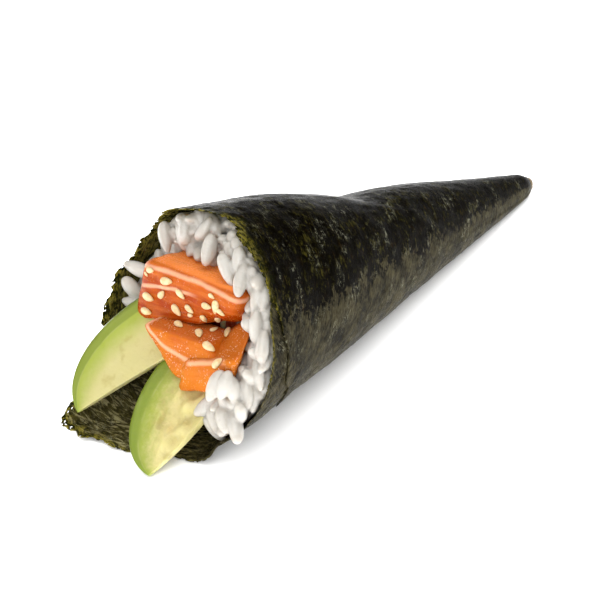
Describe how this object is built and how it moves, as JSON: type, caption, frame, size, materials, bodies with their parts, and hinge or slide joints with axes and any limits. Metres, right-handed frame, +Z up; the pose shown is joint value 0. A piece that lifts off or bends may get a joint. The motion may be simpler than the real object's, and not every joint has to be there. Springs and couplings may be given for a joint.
{
  "type": "temaki hand roll",
  "caption": "Cone of seaweed wrapped round rice, with salmon, sesame seeds and avocado slices showing in its open mouth, lying on its side.",
  "frame": {"origin": "middle of the roll's footprint, on the surface that it lies on", "axes": "+X along the roll towards its closed tip, the open mouth faces -X, +Z up"},
  "size_m": [0.1871, 0.0606, 0.0591],
  "materials": {
    "nori": "roasted seaweed sheet, dark green to black, glossy and finely wrinkled",
    "rice": "cooked short-grain rice, moist and slightly translucent",
    "salmon": "raw salmon with pale fat lines, moist, with toasted sesame seeds",
    "avocado": "ripe avocado flesh, pale yellow at the stone and green at the rind"
  },
  "bodies": {
    "root": {"nori": "nori", "rice": "rice", "salmon_upper": "salmon", "salmon_left": "salmon", "salmon_right": "salmon", "avocado_back": "avocado", "avocado_front": "avocado"}
  },
  "joints": []
}
